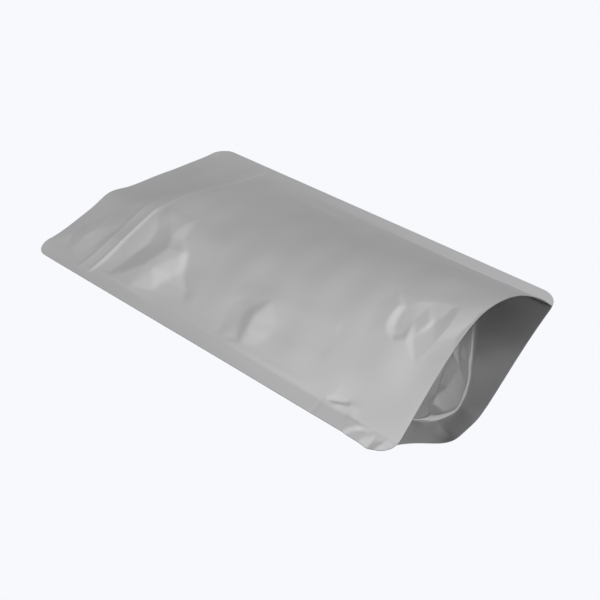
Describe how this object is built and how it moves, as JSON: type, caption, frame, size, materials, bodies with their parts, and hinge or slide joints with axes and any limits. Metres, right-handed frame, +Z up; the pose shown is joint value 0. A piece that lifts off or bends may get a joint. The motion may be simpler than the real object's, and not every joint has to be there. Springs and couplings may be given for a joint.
{
  "type": "stand-up pouch",
  "caption": "Empty stand-up pouch of plain silver film with a press-to-close zip, lying on its back with its folded base popped open.",
  "frame": {"origin": "middle of the underside of the whole pouch, on the surface it lies on", "axes": "+Y along the pouch from its open base to its zip end, +X across it, +Z up out of the front panel"},
  "size_m": [0.1374, 0.2418, 0.0617],
  "materials": {
    "film": "matte metallised film"
  },
  "bodies": {
    "root": {"pouch": "film"}
  },
  "joints": []
}
